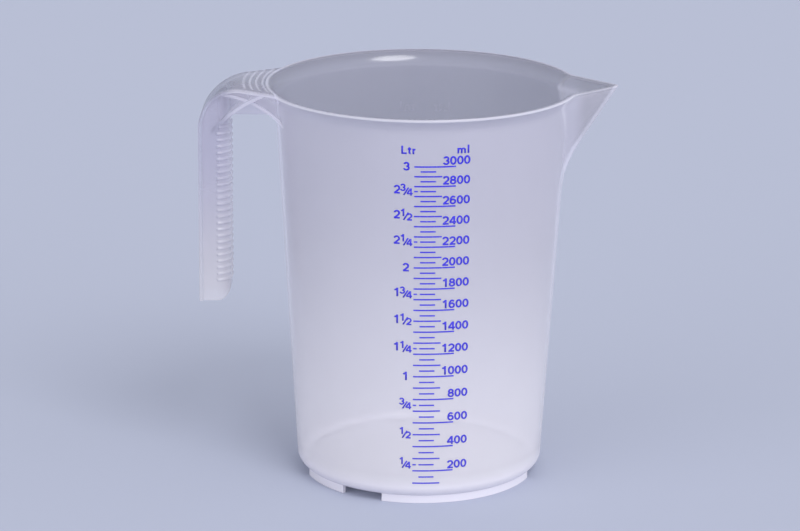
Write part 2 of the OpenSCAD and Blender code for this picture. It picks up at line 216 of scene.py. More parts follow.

# Tones of the plastic: a share of its colour and a factor for the blue. The grip and spout
# tones are painted shade, the hollow tones painted shade high up and painted light low
# down, and the thick tone is partly painted light
WALL_HIGH = (0.94, 1.03)
WALL_LOW = (0.91, 0.93)
STRAP_TONE = (0.92, 1)
GRIP_SHADE = (0.56, 1.12)
GRIP_LOW_SHADE = (0.74, 0.95)
SPOUT_SHADE = (0.74, 1)
THICK_AND_LIT_TONE = (0.9, 0.97)
HOLLOW_SHADE_HIGH = (0.015, 3)
HOLLOW_LIGHT_LOW = (0.98, 0.94)

# Where the look changes: the start and the end of each smooth step
BASE_FADE = (215 * MM, 0)
FOOT_FADE = (18 * MM, 4 * MM)
HANDLE_FADE = (79 * MM, 83 * MM)
GRIP_FADE = (100 * MM, 112 * MM)
GRIP_LOW_FADE = (190 * MM, 100 * MM)
SPOUT_FADE = (81 * MM, 90 * MM)
INK_FADE = (210 * MM, 0)

# Haze on top of the thin wall's own, outside and in the hollow. More haze towards the base
# and on the foot is painted light: the lit haze makes them lighter
OUTER_HAZE, BASE_LIGHT_HAZE, FOOT_LIGHT_HAZE, RAISED_AND_LIT_HAZE = 0.08, 0.08, 0.32, 0.25
HOLLOW_SHADE_HAZE, HOLLOW_BASE_HAZE, FLARE_SHADE_HAZE = 0.05, -0.1, 0.12
UNEVEN_HAZE = 0.06


def wall_r(z):
    """Outer radius of the wall: the foot's radius plus height times the tangent of the taper."""
    return FOOT_WALL_R + z * math.tan(TAPER)


def bore_r(z):
    """Inner radius of the wall: the outer one less the wall's level thickness."""
    return wall_r(z) - WALL_T / math.cos(TAPER)


CORNER_Z = FLOOR_Z + CORNER_R
CORNER_X = bore_r(CORNER_Z) - CORNER_R / math.cos(TAPER)
HEEL_R = CORNER_R + WALL_T
FLARE_END = 2 * math.atan(FLARE_OUT / (RIM_Z - FLARE_Z)) - FLARE_START
FLARE_R = (RIM_Z - FLARE_Z) / (math.sin(FLARE_END) - math.sin(FLARE_START))
FLARE_X = bore_r(FLARE_Z) + FLARE_R * math.cos(FLARE_START)
FLARE_MID_Z = FLARE_Z - FLARE_R * math.sin(FLARE_START)
FLARE_BACK_R = math.hypot(FLARE_X - wall_r(FLARE_Z), FLARE_Z - FLARE_MID_Z)
LIP_IN = bore_r(FLARE_Z) + FLARE_OUT

# The arc of the keel: its middle has set distances from the wall's line and the keel's line
KEEL_WALL = FOOT_WALL_R * math.cos(TAPER) + KEEL_R - KEEL_SINK
KEEL_LINE = TIP_X * math.cos(KEEL_TILT) - RIM_Z * math.sin(KEEL_TILT) + KEEL_R
KEEL_DET = math.sin(KEEL_TILT - TAPER)
KEEL_X = (KEEL_WALL * math.sin(KEEL_TILT) - KEEL_LINE * math.sin(TAPER)) / KEEL_DET
KEEL_MID_Z = (KEEL_WALL * math.cos(KEEL_TILT) - KEEL_LINE * math.cos(TAPER)) / KEEL_DET
KEEL_LOW_Z = KEEL_MID_Z + KEEL_R * math.sin(TAPER)
KEEL_TOP_Z = KEEL_MID_Z + KEEL_R * math.sin(KEEL_TILT)
SECTION_HALF = math.atan(math.tan(SPOUT_HALF) / math.cos(KEEL_TILT))

# The handle's bend, its finger side and its height on the wall
BEND_X = HANDLE_X + BEND_R
BEND_Z = RIM_Z - BEND_R
FINGER_X = HANDLE_X + GRIP_D
WEB_Z = RIM_Z - WEB_DROP
STRAP_MID = BEND_R - STRAP_T / 2


def smooth_max(a, b, width):
    """The larger of a and b, with a fillet where they differ by less than width."""
    near = np.clip(width - np.abs(a - b), 0, None)
    return np.maximum(a, b) + near * near / (4 * width)


def keel(z):
    """X of the keel's outside and its tilt at height z: a line above, an arc below."""
    lean = np.clip((z - KEEL_MID_Z) / KEEL_R, -1, math.sin(KEEL_TILT))
    tilt = np.arcsin(lean)
    on_arc = KEEL_X - KEEL_R * np.cos(tilt)
    on_line = TIP_X - (RIM_Z - z) * math.tan(KEEL_TILT)
    return np.where(z > KEEL_TOP_Z, on_line, on_arc), tilt


def wedge_r(angle, z, r):
    """Distance from the axis to the V of the spout, along a direction. Its two sides are
    lines that meet at a vertex on the X axis, and an arc of radius r rounds the vertex."""
    nose, tilt = keel(z)
    half = np.arctan(math.tan(SECTION_HALF) * np.cos(tilt))
    vertex = nose - (NOSE_R + SPOUT_T - r / math.sin(SECTION_HALF)) / np.cos(tilt)
    middle = vertex - r / np.sin(half)
    side = np.abs(np.sin(angle))
    on_side = vertex / (np.cos(angle) + side / np.tan(half))
    on_nose = middle * np.cos(angle) + np.sqrt(np.clip(r * r - (middle * side) ** 2, 0, None))
    touch = np.arctan2(r * np.cos(half), middle + r * np.sin(half))
    radius = np.where(np.abs(angle) < touch, on_nose, on_side)
    live = (np.abs(angle) < math.radians(SPOUT_SPAN)) & (z > KEEL_LOW_Z)
    return np.where(live, radius, 0)


def strap_bend(inset):
    """X where the strap's edge, moved in by the inset, starts to flare."""
    return HANDLE_X + FLARE_FROM + inset * math.tan(STRAP_FLARE / 2)


def fillet_turn(inset=0.0):
    """Angle round the axis from the handle to the middle of the fillet at the lip, which
    lies off the strap's flared edge by the radius."""
    offset = FILLET_R + inset - strap_bend(inset) * math.sin(STRAP_FLARE)
    offset += (STRAP_HALF - inset) * math.cos(STRAP_FLARE)
    return math.asin(offset / (LIP_OUT + FILLET_R)) - STRAP_FLARE


def strap_half(x, inset=0.0):
    """Half width of the strap at x: level along the grip, then a line at the flare's angle,
    then an arc that runs into the round lip."""
    x = np.asarray(x, float)
    half, fillet, bend = STRAP_HALF - inset, FILLET_R + inset, strap_bend(inset)
    far, turn = LIP_OUT + FILLET_R, fillet_turn(inset)
    mid = (-far * math.cos(turn), far * math.sin(turn))
    line = half + np.clip(x - bend, 0, None) * math.tan(STRAP_FLARE)
    arc_from = mid[0] + fillet * math.sin(STRAP_FLARE)
    dx = np.clip(x - mid[0], -fillet, fillet)
    arc = mid[1] - np.sqrt(fillet * fillet - dx * dx)
    return np.where(x > arc_from, arc, line)


def link(name, verts, faces):
    """Puts arrays of points and of corner indices into a new mesh object."""
    mesh = bpy.data.meshes.new(name)
    mesh.vertices.add(len(verts))
    mesh.vertices.foreach_set("co", np.ascontiguousarray(verts, np.float32).ravel())
    sizes = np.concatenate([np.full(len(f), f.shape[1]) for f in faces])
    corners = np.concatenate([f.ravel() for f in faces]).astype(np.int32)
    starts = np.concatenate([[0], np.cumsum(sizes)[:-1]]).astype(np.int32)
    mesh.loops.add(len(corners))
    mesh.loops.foreach_set("vertex_index", corners)
    mesh.polygons.add(len(starts))
    mesh.polygons.foreach_set("loop_start", starts)
    mesh.update(calc_edges=True)
    mesh.validate()
    obj = bpy.data.objects.new(name, mesh)
    bpy.context.scene.collection.objects.link(obj)
    return obj


def grid_faces(rows, cols, wrap_rows=False, wrap_cols=False, first=0):
    """Corner indices of the quads of a grid that is numbered row by row."""
    r = np.arange(rows if wrap_rows else rows - 1)
    c = np.arange(cols if wrap_cols else cols - 1)
    r, c = np.meshgrid(r, c, indexing="ij")
    below, right = (r + 1) % rows, (c + 1) % cols
    quads = np.stack([r * cols + c, r * cols + right, below * cols + right, below * cols + c], -1)
    return quads.reshape(-1, 4) + first


def ring_solid(name, points):
    """A closed solid whose rows run round it and back, like the skin of a ring."""
    rows, cols = points.shape[:2]
    return link(name, points.reshape(-1, 3), [grid_faces(rows, cols, True, True)])


def bar_faces(count):
    """Faces of a closed bar: four corners at each of its places, and its two ends."""
    ends = np.array([[3, 2, 1, 0], [0, 1, 2, 3]]) + [[0], [4 * count - 4]]
    return [grid_faces(count, 4, False, True), ends]


def plate_solid(name, top, bottom):
    """A closed solid between two grids of the same size, joined along their four borders."""
    rows, cols = top.shape[:2]
    count = rows * cols
    faces = [grid_faces(rows, cols), grid_faces(rows, cols, first=count)[:, ::-1]]
    index = np.arange(count).reshape(rows, cols)
    border = np.concatenate([index[0, :-1], index[:-1, -1], index[-1, :0:-1], index[:0:-1, 0]])
    ahead = np.roll(border, -1)
    faces.append(np.stack([ahead, border, border + count, ahead + count], -1))
    verts = np.concatenate([top.reshape(-1, 3), bottom.reshape(-1, 3)])
    return link(name, verts, faces)


def points_of(obj):
    """The places of a mesh object's points, one in each row."""
    co = np.empty(len(obj.data.vertices) * 3, np.float32)
    obj.data.vertices.foreach_get("co", co)
    return co.reshape(-1, 3).astype(float)


def triangles_of(obj):
    """The corner indices of a mesh object's triangles, one triangle in each row."""
    mesh = obj.data
    mesh.calc_loop_triangles()
    corners = np.empty(len(mesh.loop_triangles) * 3, np.int32)
    mesh.loop_triangles.foreach_get("vertices", corners)
    return corners.reshape(-1, 3)


def turn_outwards(obj):
    """Turns a closed mesh so that its faces point outwards, by the sign of its volume."""
    a, b, c = points_of(obj)[triangles_of(obj)].transpose(1, 0, 2)
    if np.einsum("ij,ij->i", a, np.cross(b, c)).sum() < 0:
        obj.data.flip_normals()
    return obj


def fuse(base, parts):
    """Unites closed solids with the base, so that no skin is left inside the plastic."""
    for part in parts:
        turn_outwards(part)
    turn_outwards(base)
    for part in parts:
        tool = base.modifiers.new(part.name, "BOOLEAN")
        tool.operation = "UNION"
        tool.solver = "MANIFOLD"
        tool.object = part
    depsgraph = bpy.context.evaluated_depsgraph_get()
    mesh = bpy.data.meshes.new_from_object(base.evaluated_get(depsgraph))
    base.modifiers.clear()
    base.data = mesh
    for part in parts:
        bpy.data.objects.remove(part)
    return base


def set_depth(obj, values):
    """Gives each point its painted shade: 0 on the outside, 1 in the hollow of the vessel, more
    in its flare, and down to -1 as painted light on the lip and on raised ridges."""
    data = obj.data.attributes.new("depth", "FLOAT", "POINT")
    data.data.foreach_set("value", np.ascontiguousarray(values, np.float32).ravel())
    return obj


def smooth_by_angle(obj, degrees):
    """Smooth shading, with a sharp edge where two faces turn by more than the angle."""
    obj.data.shade_smooth()
    obj.data.set_sharp_from_angle(angle=math.radians(degrees))


def vessel_rows():
    """Outline of the vessel from the middle of the underside, out, up, over the lip and down
    to the middle of the floor: radius, height, share from the inside to the outside and
    painted shade."""
    out, inside = (1.0, 0.0), (0.0, 1.0)
    heel = np.linspace(-math.pi / 2, -TAPER, 12)
    rows = [(r * CORNER_X, FLOOR_Z - WALL_T, *out) for r in (0.35, 0.7)]
    rows += [(CORNER_X + HEEL_R * math.cos(a), CORNER_Z + HEEL_R * math.sin(a), *out) for a in heel]
    climb = np.concatenate([np.linspace(CORNER_Z + HEEL_STEP, KEEL_LOW_Z, 5),
                            np.linspace(KEEL_LOW_Z, FLARE_Z, 34)[1:-1]])
    rows += [(wall_r(z), z, *out) for z in climb]
    lip_low = RIM_Z - LIP_H
    high = math.asin((lip_low - FLARE_MID_Z) / FLARE_BACK_R)
    low = math.asin((FLARE_Z - FLARE_MID_Z) / FLARE_BACK_R)
    # Painted light under the lip: the outer flare grows lighter towards the lip, against the shade
    # there
    for a, shade_value in zip(np.linspace(low, high, 10), np.linspace(0, UNDER_LIP_LIGHT, 10)):
        rows.append((FLARE_X - FLARE_BACK_R * math.cos(a), FLARE_MID_Z + FLARE_BACK_R * math.sin(a),
                     1.0, shade_value))
    # The lip's round is painted lighter, partly for its thicker plastic and partly as painted
    # light; its top and inner edge get painted shade
    for z, start in ((lip_low + LIP_ROUND, -math.pi / 2), (RIM_Z - LIP_ROUND, 0)):
        for a in np.linspace(start, start + math.pi / 2, 5):
            r = LIP_OUT - LIP_ROUND + LIP_ROUND * math.cos(a)
            shade_value = LIP_THICK_AND_LIT + (LIP_TOP_SHADE - LIP_THICK_AND_LIT) * max(0, math.sin(a))
            rows.append((r, z + LIP_ROUND * math.sin(a), 1 - (LIP_OUT - r) / LIP_W, shade_value))
    rows.append((LIP_IN + LIP_SOFT, RIM_Z, LIP_SOFT / LIP_W, LIP_EDGE_SHADE))
    # Painted shade on the inner flare, darkest at the lip, with a line of painted light where it
    # meets the wall
    fall = np.linspace(FLARE_SHADE, FLARE_CREASE_LIGHT, 14)
    for a, shade_value in zip(np.linspace(FLARE_END - FLARE_GAP, FLARE_START, 14), fall):
        r = FLARE_X - FLARE_R * math.cos(a)
        rows.append((r, FLARE_MID_Z + FLARE_R * math.sin(a), 0.0, shade_value))
    rows += [(bore_r(z), z, *inside) for z in climb[::-1]]
    # A line of painted light round the inner heel, lightest halfway round its corner
    rows += [(CORNER_X + CORNER_R * math.cos(a), CORNER_Z + CORNER_R * math.sin(a), 0.0,
              1 + HEEL_LIGHT_LINE * math.sin(2 * a)) for a in heel[::-1]]
    rows += [(r * CORNER_X, FLOOR_Z, *inside) for r in (0.7, 0.35)]
    return np.array(rows)


def vessel():
    """Vessel and spout as one skin: each point of the outline goes round the axis, and at
    each angle the radius is the larger of the outline's own and that of the V of the spout.
    The spout gets less painted shade and light than the vessel, and the crease where the two meet
    gets a line of painted light."""
    half = np.concatenate([
        np.linspace(0, TIP_SPAN, 20)[:-1], np.linspace(TIP_SPAN, NOSE_SPAN, 20)[:-1],
        np.linspace(NOSE_SPAN, SPOUT_SPAN, 52)[:-1], np.linspace(SPOUT_SPAN, 180, 104)])
    angle = np.radians(np.concatenate([half, -half[-2:0:-1]]))[None, :]
    rows = vessel_rows()
    r, z, share, depth = (rows[:, i:i + 1] for i in range(4))
    outer = wedge_r(angle, z, NOSE_R + SPOUT_T)
    inner = wedge_r(angle, z, NOSE_R)
    wedge = share * outer + (1 - share) * inner
    radius = smooth_max(r, wedge, CREASE)
    # A line of painted light along the crease between wall and spout, fading in above the keel's
    # top and stopping at the lip
    crease = np.clip(1 - np.abs(r - wedge) / CREASE, 0, 1)
    crease = crease * np.clip((z - KEEL_TOP_Z) / CREASE_LIGHT_FADE, 0, 1)
    crease = crease * (CREASE_LIGHT_INSIDE + (CREASE_LIGHT_OUTSIDE - CREASE_LIGHT_INSIDE) * share)
    depth = depth * np.where(wedge > r, SPOUT_SHADE_SHARE, 1) - crease * (z < RIM_Z - LIP_H)
    z = np.broadcast_to(z, radius.shape)
    points = np.stack([radius * np.cos(angle), radius * np.sin(angle), z], -1)
    poles = np.array([[0, 0, FLOOR_Z - WALL_T], [0, 0, FLOOR_Z]])
    n_rows, cols = radius.shape
    here = np.arange(cols)
    ahead = (here + 1) % cols
    last = (n_rows - 1) * cols
    under = np.stack([ahead, here, np.full(cols, n_rows * cols)], -1)
    over = np.stack([last + here, last + ahead, np.full(cols, n_rows * cols + 1)], -1)
    verts = np.concatenate([points.reshape(-1, 3), poles])
    body = link("jug_moulding", verts, [grid_faces(n_rows, cols, False, True), under, over])
    return set_depth(body, np.concatenate([depth.ravel(), [0, 1]]))


def foot(start_deg, end_deg):
    """One stretch of the foot ring: a rectangle carried along an arc, up into the heel."""
    count = max(8, int((end_deg - start_deg) / 2))
    angle = np.radians(np.linspace(start_deg, end_deg, count))[:, None]
    top = FLOOR_Z - WALL_T / 2
    height = np.array([0, FOOT_CHAMFER, top / 2, top])[None, :]
    chamfer = np.array([FOOT_CHAMFER, 0, 0, 0])[None, :]
    outer, inner = FOOT_WALL_R - FOOT_INSET - chamfer, FOOT_WALL_R - FOOT_INSET - FOOT_T + chamfer

    def side(r):
        return np.stack([r * np.cos(angle), r * np.sin(angle), height + 0 * angle], -1)

    return plate_solid("foot", side(outer), side(inner))


def across(width, edge, count):
    """Places across a plate from -width to width, crowded on the round edges, and how far
    the rounding drops at each place. The width may be a column, for a row of places each."""
    turn = np.linspace(0, math.pi / 2, 5)
    flat = np.linspace(-1, 1, count)
    inner = width - edge
    left = -inner - edge * np.cos(turn)
    places = np.concatenate([left, inner * flat[1:-1], -left[..., ::-1]], -1)
    drop = edge * (1 - np.concatenate([np.sin(turn), np.ones(count - 2), np.sin(turn)[::-1]]))
    return places, drop


def strap_line(count):
    """The strap's middle line in side view: up the outer face and round the bend. Returns
    the points and their outward normals."""
    up = np.linspace(HANDLE_Z, BEND_Z, 24)[:-1]
    turn = np.linspace(math.pi, math.pi / 2, count)
    x = np.concatenate([np.full(len(up), BEND_X - STRAP_MID), BEND_X + STRAP_MID * np.cos(turn)])
    z = np.concatenate([up, BEND_Z + STRAP_MID * np.sin(turn)])
    nx = np.concatenate([np.full(len(up), -1.0), np.cos(turn)])
    nz = np.concatenate([np.zeros(len(up)), np.sin(turn)])
    return x, z, nx, nz


def strap_grid(x, z, nx, nz, x_end, outer):
    """One face of the strap. Each row goes across at one place of the side view, moved half
    the thickness along the normal. Past the bend the rows turn into the round lip."""
    half = strap_half(x)[:, None]
    y, drop = across(half, EDGE_R, 61)
    lift = (STRAP_T / 2 - drop)[None, :] * (1 if outer else -1)
    share = np.clip((x - BEND_X) / (x_end - BEND_X), 0, 1)[:, None]
    lip_y = y / half * half[-1]
    lip_x = -np.sqrt(np.clip((LIP_OUT - LIP_W / 2) ** 2 - lip_y * lip_y, 0, None))
    px = x[:, None] + share * (lip_x - x_end) + nx[:, None] * lift
    pz = z[:, None] + nz[:, None] * lift
    return np.stack([px, y, pz], -1)


def ridge_lift(points):
    """Height of the thumb ridges over the strap: low arches round the vessel's axis, which
    stop a margin before the strap's edges."""
    x, y, z = (points[..., i] for i in range(3))
    r = np.hypot(x, y)
    index = np.clip(np.round((r - LIP_OUT - RIDGE_FIRST) / RIDGE_PITCH), 0, RIDGES - 1)
    away = (r - LIP_OUT - RIDGE_FIRST - index * RIDGE_PITCH) / (RIDGE_W / 2)
    arch = np.clip(1 - away * away, 0, None)
    room = (strap_half(x) - RIDGE_MARGIN - np.abs(y)) / RIDGE_END
    level = z > RIM_Z - STRAP_T
    return RIDGE_H * arch * np.clip(room, 0, 1) * level


def strap():
    """The outer strap of the handle, with its thumb ridges raised from its upper face."""
    x, z, nx, nz = strap_line(48)
    x_end = -(LIP_OUT - LIP_W / 2) * math.cos(fillet_turn())
    level = np.linspace(BEND_X, x_end, 96)[1:]
    x = np.concatenate([x, level])
    z = np.concatenate([z, np.full(len(level), RIM_Z - STRAP_T / 2)])
    nx = np.concatenate([nx, np.zeros(len(level))])
    nz = np.concatenate([nz, np.ones(len(level))])
    top = strap_grid(x, z, nx, nz, x_end, True)
    lift = ridge_lift(top)
    top[..., 2] += lift
    # Painted shade on the strap's upward faces, with less of it along the edges and on the crests
    # of the thumb ridges, which read as painted light
    room = np.clip((strap_half(x)[:, None] - np.abs(top[..., 1])) / STRAP_EDGE_W - 0.5, 0, 1)
    shade_value = np.clip(4 * nz[:, None], 0, 1) * (STRAP_EDGE_SHADE + (1 - STRAP_EDGE_SHADE) * room)
    shade_value += (RIDGE_CREST_SHADE - shade_value) * lift / RIDGE_H
    plate = plate_solid("strap", top, strap_grid(x, z, nx, nz, x_end, False))
    return set_depth(plate, np.concatenate([shade_value, 0 * shade_value]))


def grip_ring(inset, x_back):
    """Plan of the grip, inset from its outer face: flat sides and two round edges on the
    finger side. Returns the points and their outward normals."""
    radius = FINGER_R - inset
    mid_x, mid_y = FINGER_X - FINGER_R, GRIP_HALF - FINGER_R
    turn = np.linspace(math.pi / 2, 0, 14)
    side = np.linspace(x_back, mid_x, 8)[:-1]
    x = np.concatenate([side, mid_x + radius * np.cos(turn)])
    y = np.concatenate([np.full(len(side), mid_y + radius), mid_y + radius * np.sin(turn)])
    nx = np.concatenate([np.zeros(len(side)), np.cos(turn)])
    ny = np.concatenate([np.ones(len(side)), np.sin(turn)])
    mirrored = [np.concatenate([a, s * a[::-1]]) for a, s in ((x, 1), (y, -1), (nx, 1), (ny, -1))]
    return mirrored


def bend_height(x, r):
    """Height at x of an arc of radius r round the middle of the strap's bend."""
    return BEND_Z + np.sqrt(np.clip(r * r - (x - BEND_X) ** 2, 0, None))


def grip_end(x):
    """Height of the grip's lower end at x: level, then an arc up to the finger side."""
    past = np.clip(x - FINGER_X + FINGER_R, 0, FINGER_R)
    return HANDLE_Z + FINGER_R - np.sqrt(np.clip(FINGER_R ** 2 - past ** 2, 0, None))


def grip():
    """The hollow grip: its plan carried up from the rounded lower end into the strap's bend.
    Half round ribs lift its finger side at a steady pitch."""
    x, y, nx, ny = grip_ring(0, HANDLE_X + 0.6 * STRAP_T)
    low = grip_end(x)
    high = bend_height(x, STRAP_MID)
    first, last = HANDLE_Z + RIB_FIRST, RIM_Z - RIB_LAST_DROP
    rib_low, rib_high = first - RIB_PITCH / 2, last + RIB_PITCH / 4
    steps = int((rib_high - rib_low) / (RIB_PITCH / 9))
    bands = [low[None, :] + np.linspace(0, 1, 6)[:-1, None] * (rib_low - low[None, :]),
             np.broadcast_to(np.linspace(rib_low, rib_high, steps)[:, None], (steps, len(x))),
             rib_high + np.linspace(0, 1, 6)[1:, None] * (high[None, :] - rib_high)]
    z = np.concatenate(bands)
    count = math.floor((last - first) / RIB_PITCH)
    index = np.clip(np.round((z - first) / RIB_PITCH), 0, count)
    away = (z - first - index * RIB_PITCH) / RIB_R
    lift = RIB_R * np.sqrt(np.clip(1 - away * away, 0, None))
    lift = lift * np.clip((x[None, :] - FINGER_X + FINGER_R) / RIB_END, 0, 1)
    outer = np.stack([x + nx * lift, y + ny * lift, z], -1)
    hx, hy, _, _ = grip_ring(GRIP_WALL, HANDLE_X + 1.05 * STRAP_T)
    h_low = grip_end(hx)
    h_high = bend_height(hx, STRAP_MID - 0.2 * STRAP_T)
    share = np.linspace(1, 0, 8)[:, None]
    inner = np.stack([hx + 0 * share, hy + 0 * share, h_low + share * (h_high - h_low)], -1)
    # Painted highlights: the finger side's round edge is painted a little lighter, and the rib
    # crests in a band where the rounding begins carry painted glints
    glint_band = np.exp(-((x - FINGER_X + 0.8 * FINGER_R) / (0.35 * FINGER_R)) ** 2)
    round_edge = np.clip((x - FINGER_X + FINGER_R) / (0.5 * FINGER_R), 0, 1)
    shade_value = GRIP_EDGE_LIGHT * round_edge + GRIP_RIB_GLINT * glint_band * lift / RIB_R
    solid = ring_solid("grip", np.concatenate([outer, inner]))
    return set_depth(solid, np.concatenate([shade_value, 0 * inner[..., 0]]))


def web():
    """The upright web: a flat plate between the grip and the wall, from its lower edge with
    two round corners up into the strap."""
    left, right = FINGER_X - WEB_ROOT, -wall_r(WEB_Z) + WALL_T / 2
    x = np.linspace(left, right, 60)
    from_left = np.clip(WEB_FILLET - (x - FINGER_X), 0, WEB_FILLET)
    from_right = np.clip(WEB_FILLET - (-wall_r(WEB_Z) - x), 0, WEB_FILLET)
    reach = np.maximum(from_left, from_right)
    low = WEB_Z - WEB_FILLET + np.sqrt(np.clip(WEB_FILLET ** 2 - reach ** 2, 0, None))
    bend = bend_height(np.minimum(x, BEND_X), STRAP_MID)
    share = np.linspace(0, 1, 12)[None, :]
    z = low[:, None] + share * (bend - low)[:, None]
    climb = np.clip((z - FLARE_Z) / (RIM_Z - FLARE_Z), 0, 1)
    lean = (z - WEB_Z) * math.tan(TAPER) + (FLARE_OUT - WALL_T / 2) * climb ** 1.5
    px = x[:, None] - lean * ((x - left) / (right - left))[:, None]
    y = np.full_like(z, WEB_T / 2)
    return plate_solid("web", np.stack([px, y, z], -1), np.stack([px, -y, z], -1))


def arc_middle(start, end, r):
    """Middle of the circle of radius r through two points, to the right of the way."""
    start, end = np.array(start), np.array(end)
    way = end - start
    length = np.hypot(*way)
    drop = math.sqrt(r * r - length * length / 4)
    return (start + end) / 2 + np.array([way[1], -way[0]]) / length * drop


def brace(name, x, y, middle, r, shade_value):
    """A curved rib: each row goes across at its place on a circle in side view, half the
    thickness inside and half of it outside the circle."""
    turn = np.arctan2(np.sqrt(np.clip(r * r - (x - middle[0]) ** 2, 0, None)), x - middle[0])
    faces = []
    for half in (BRACE_T / 2, -BRACE_T / 2):
        px = middle[0] + (r + half) * np.cos(turn)
        pz = middle[1] + (r + half) * np.sin(turn)
        faces.append(np.stack([px, y + 0 * px, pz], -1))
    plate = plate_solid(name, *faces)
    return set_depth(plate, np.full(len(plate.data.vertices), shade_value))


def rising_rib():
    """From the side of the grip up to the strap at the lip, as wide as the strap there."""
    start = (HANDLE_X + RISING_X, RIM_Z - RISING_DROP)
    end = (-LIP_OUT, RIM_Z - STRAP_T)
    x = np.linspace(start[0], end[0] + RISING_INSET, 60)[:, None]
    y = strap_half(x, RISING_INSET) * np.linspace(-1, 1, 31)[None, :]
    return brace("rising_rib", x + 0 * y, y, arc_middle(start, end, RISING_R), RISING_R, 0.0)


def falling_rib():
    """From under the strap's bend down to the wall, a little narrower than the strap."""
    crown = HANDLE_X + CROWN_X
    middle = (crown, RIM_Z - CROWN_DROP - FALLING_R)
    end_r = wall_r(RIM_Z - FALLING_DROP) - WALL_T / 2
    across_share = np.linspace(-1, 1, 31)[None, :]
    along = np.linspace(0, 1, 60)[:, None]
    edge = crown + along * (-math.sqrt(end_r ** 2 - FALLING_END_HALF ** 2) - crown)
    y = (FALLING_HALF + math.tan(FALLING_FLARE) * (edge - crown)) * across_share
    x = crown + along * (-np.sqrt(end_r ** 2 - y[-1:] ** 2) - crown)
    # The falling rib is painted a little darker, as painted shade
    return brace("falling_rib", x, y, middle, FALLING_R, FALLING_SHADE)


def shade(colour, tone):
    """The colour times the tone's share, its blue also times the tone's factor, and alpha 1."""
    share, blue = tone
    return (share * colour[0], share * colour[1], share * blue * colour[2], 1)


class Value:
    """A number in a material: its operators add Math nodes and return the next value."""

    def __init__(self, nodes, socket):
        self.nodes, self.socket = nodes, socket

    def math(self, operation, other):
        return self.nodes.add("ShaderNodeMath", {"operation": operation}, {0: self, 1: other})

    def __add__(self, other):
        return self.math("ADD", other)

    def __sub__(self, other):
        return self.math("SUBTRACT", other)

    def __rsub__(self, other):
        return self.nodes.add("ShaderNodeMath", {"operation": "SUBTRACT"}, {0: other, 1: self})

    def __mul__(self, other):
        return self.math("MULTIPLY", other)

    __radd__ = __add__
    __rmul__ = __mul__

    def ramp(self, low, high):
        """0 at low, 1 at high and smooth between them."""
        settings = {"interpolation_type": "SMOOTHSTEP"}
        limits = {"Value": self, "From Min": low, "From Max": high}
        return self.nodes.add("ShaderNodeMapRange", settings, limits)


class Nodes:
    """The node tree of one material, or of the world."""

    def __init__(self, owner):
        self.owner = owner
        owner.use_nodes = True
        self.tree = owner.node_tree
        self.tree.nodes.clear()

    def add(self, kind, settings=None, inputs=None, output=0):
        """Adds a node, sets it, then gives its sockets values or links."""
        node = self.tree.nodes.new(kind)
        for key, value in (settings or {}).items():
            setattr(node, key, value)
        for key, value in (inputs or {}).items():
            if isinstance(value, Value):
                self.tree.links.new(value.socket, node.inputs[key])
            else:
                node.inputs[key].default_value = value
        return Value(self, node.outputs[output])

    def place(self):
        """The place on the object."""
        return self.add("ShaderNodeTexCoord", output="Object")

    def axes(self):
        """The three coordinates of the place on the object."""
        split = self.add("ShaderNodeSeparateXYZ", None, {0: self.place()})
        return [Value(self, split.socket.node.outputs[i]) for i in range(3)]

    def noise(self, scale, detail):
        """Soft noise round the middle of 0 to 1, by the place on the object."""
        inputs = {"Vector": self.place(), "Scale": scale, "Detail": detail}
        return self.add("ShaderNodeTexNoise", None, inputs)

    def mix(self, factor, first, second):
        """The first colour at 0 and the second at 1: the Mix node's sockets for colours."""
        inputs = {0: factor, 6: first, 7: second}
        return self.add("ShaderNodeMix", {"data_type": "RGBA"}, inputs, 2)

    def finish(self, shader, kind="Material"):
        """Gives the shader to the output and returns the material or the world."""
        node = self.tree.nodes.new("ShaderNodeOutput" + kind)
        self.tree.links.new(shader.socket, node.inputs["Surface"])
        return self.owner


